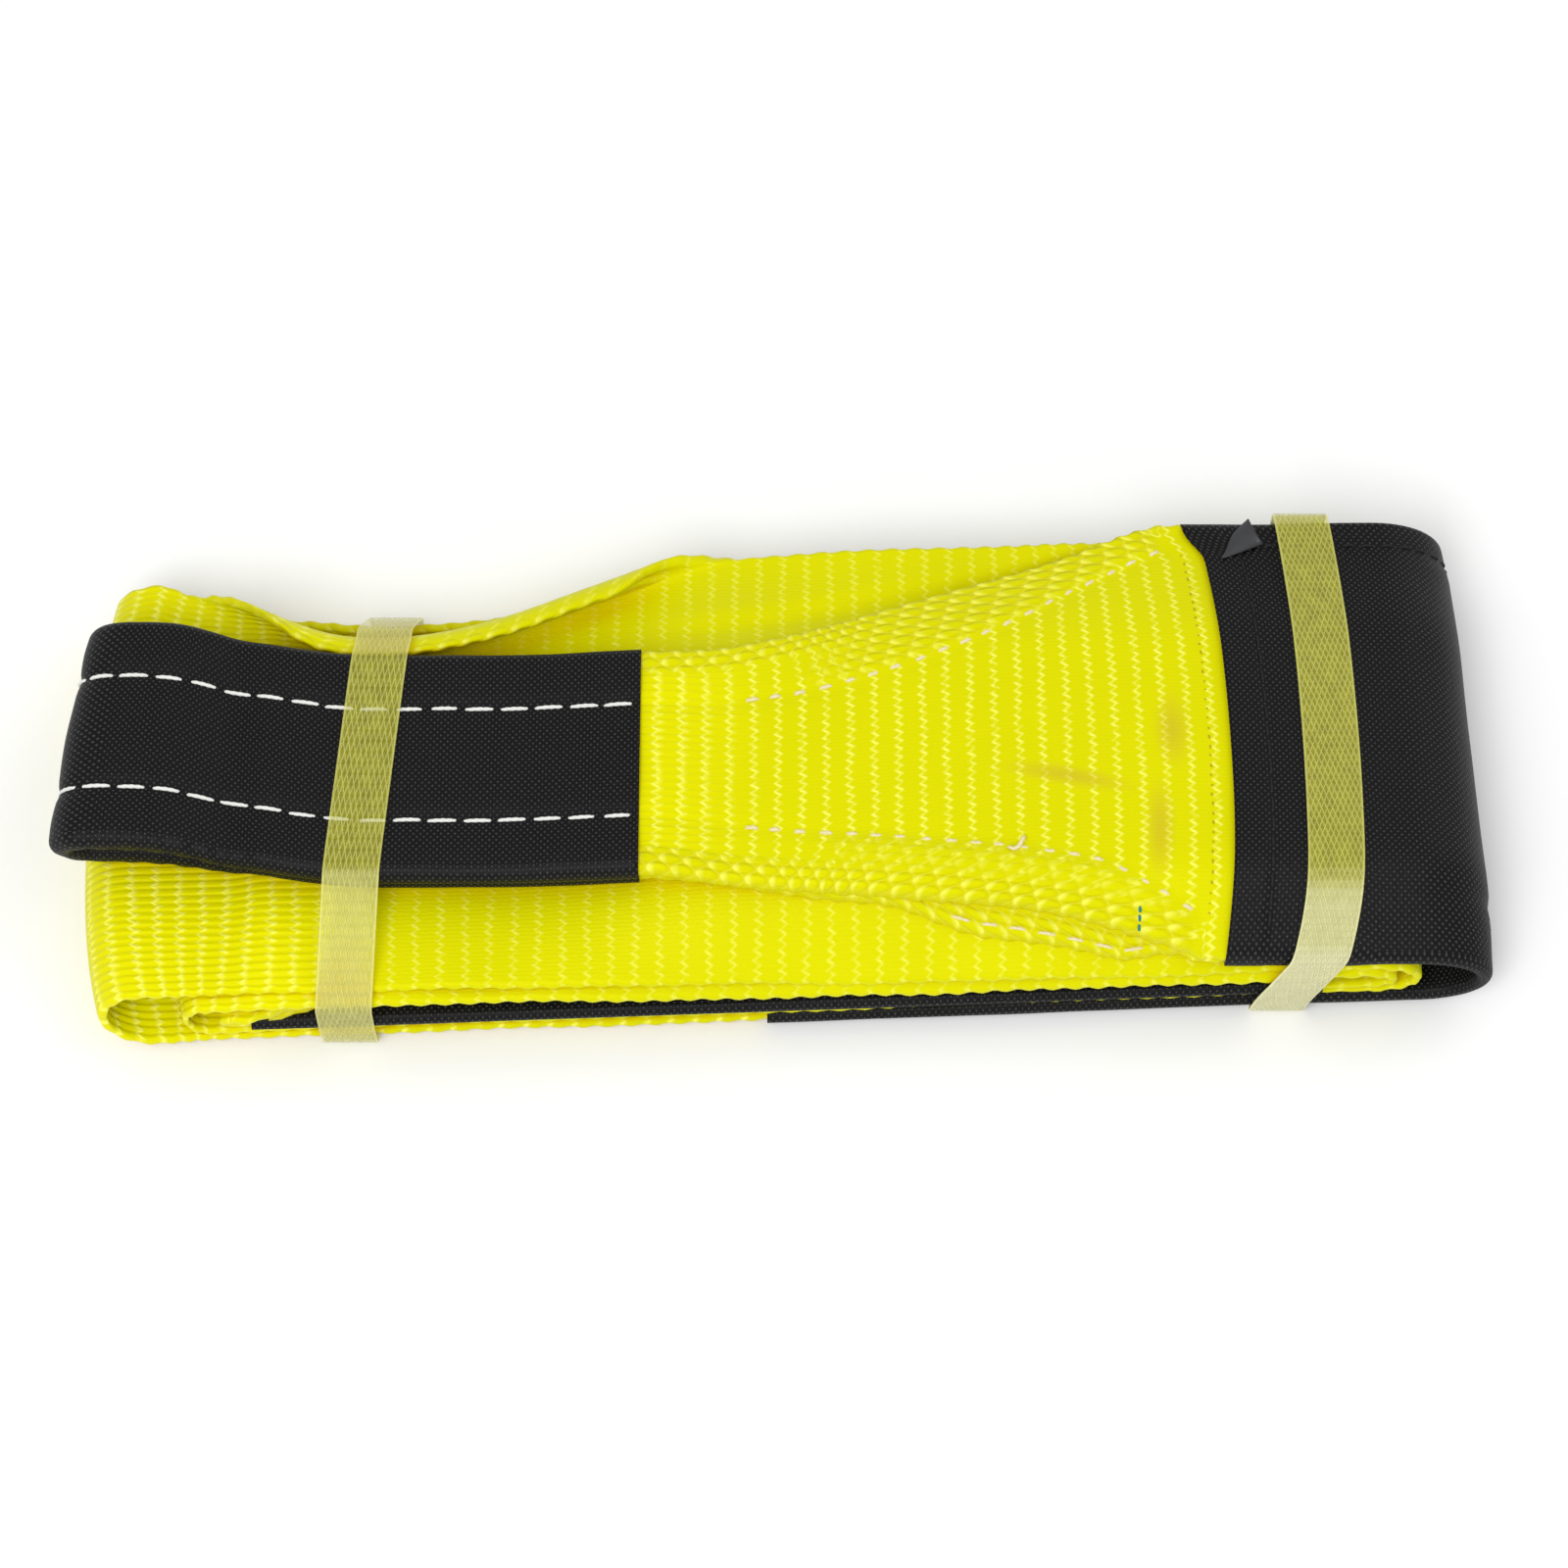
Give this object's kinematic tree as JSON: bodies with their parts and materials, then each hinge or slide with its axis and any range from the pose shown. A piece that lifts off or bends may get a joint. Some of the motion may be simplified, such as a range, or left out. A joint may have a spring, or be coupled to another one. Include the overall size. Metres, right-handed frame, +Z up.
{
  "type": "folded recovery strap",
  "caption": "Flat webbing tow strap with a sleeved sewn eye at each end and sliding wear sleeves, folded into a flat roll and held by strapping bands.",
  "frame": {"origin": "on the resting surface, below the middle of the bundle's box", "axes": "+X along the bundle, away from the front eye; +Y across the webbing; +Z up, with the front eye on top"},
  "size_m": [0.3076, 0.1138, 0.0398],
  "materials": {
    "webbing": "ribbed polyester webbing, lemon yellow, silky sheen",
    "sleeve_fabric": "black basket-weave nylon, matte",
    "seam_thread": "thick twisted white thread",
    "dark_thread": "black sewing thread",
    "strapping": "translucent embossed polypropylene strapping"
  },
  "bodies": {
    "strap": {"strap_webbing": "webbing", "front_eye_sleeve": "sleeve_fabric", "rear_eye_sleeve": "sleeve_fabric", "outer_wear_sleeve": "sleeve_fabric", "inner_wear_sleeve": "sleeve_fabric", "front_eye_far_seam": "seam_thread", "front_eye_near_seam": "seam_thread", "front_tail_seam": "seam_thread", "front_bar_stitch": "seam_thread", "rear_eye_far_seam": "seam_thread", "rear_eye_near_seam": "seam_thread", "rear_tail_seam": "seam_thread", "rear_bar_stitch": "seam_thread", "outer_sleeve_front_hem_seam": "dark_thread", "outer_sleeve_rear_hem_seam": "dark_thread", "outer_sleeve_side_seam": "dark_thread", "inner_sleeve_left_hem_seam": "dark_thread", "inner_sleeve_right_hem_seam": "dark_thread", "inner_sleeve_side_seam": "dark_thread"},
    "left_band": {"left_band": "strapping"},
    "right_band": {"right_band": "strapping"}
  },
  "joints": [
    {"name": "left_band_slide", "type": "slide", "parent": "strap", "child": "left_band", "axis": [1, 0, 0], "range_m": [-0.004, 0.004]},
    {"name": "right_band_slide", "type": "slide", "parent": "strap", "child": "right_band", "axis": [1, 0, 0], "range_m": [-0.004, 0.004]}
  ]
}
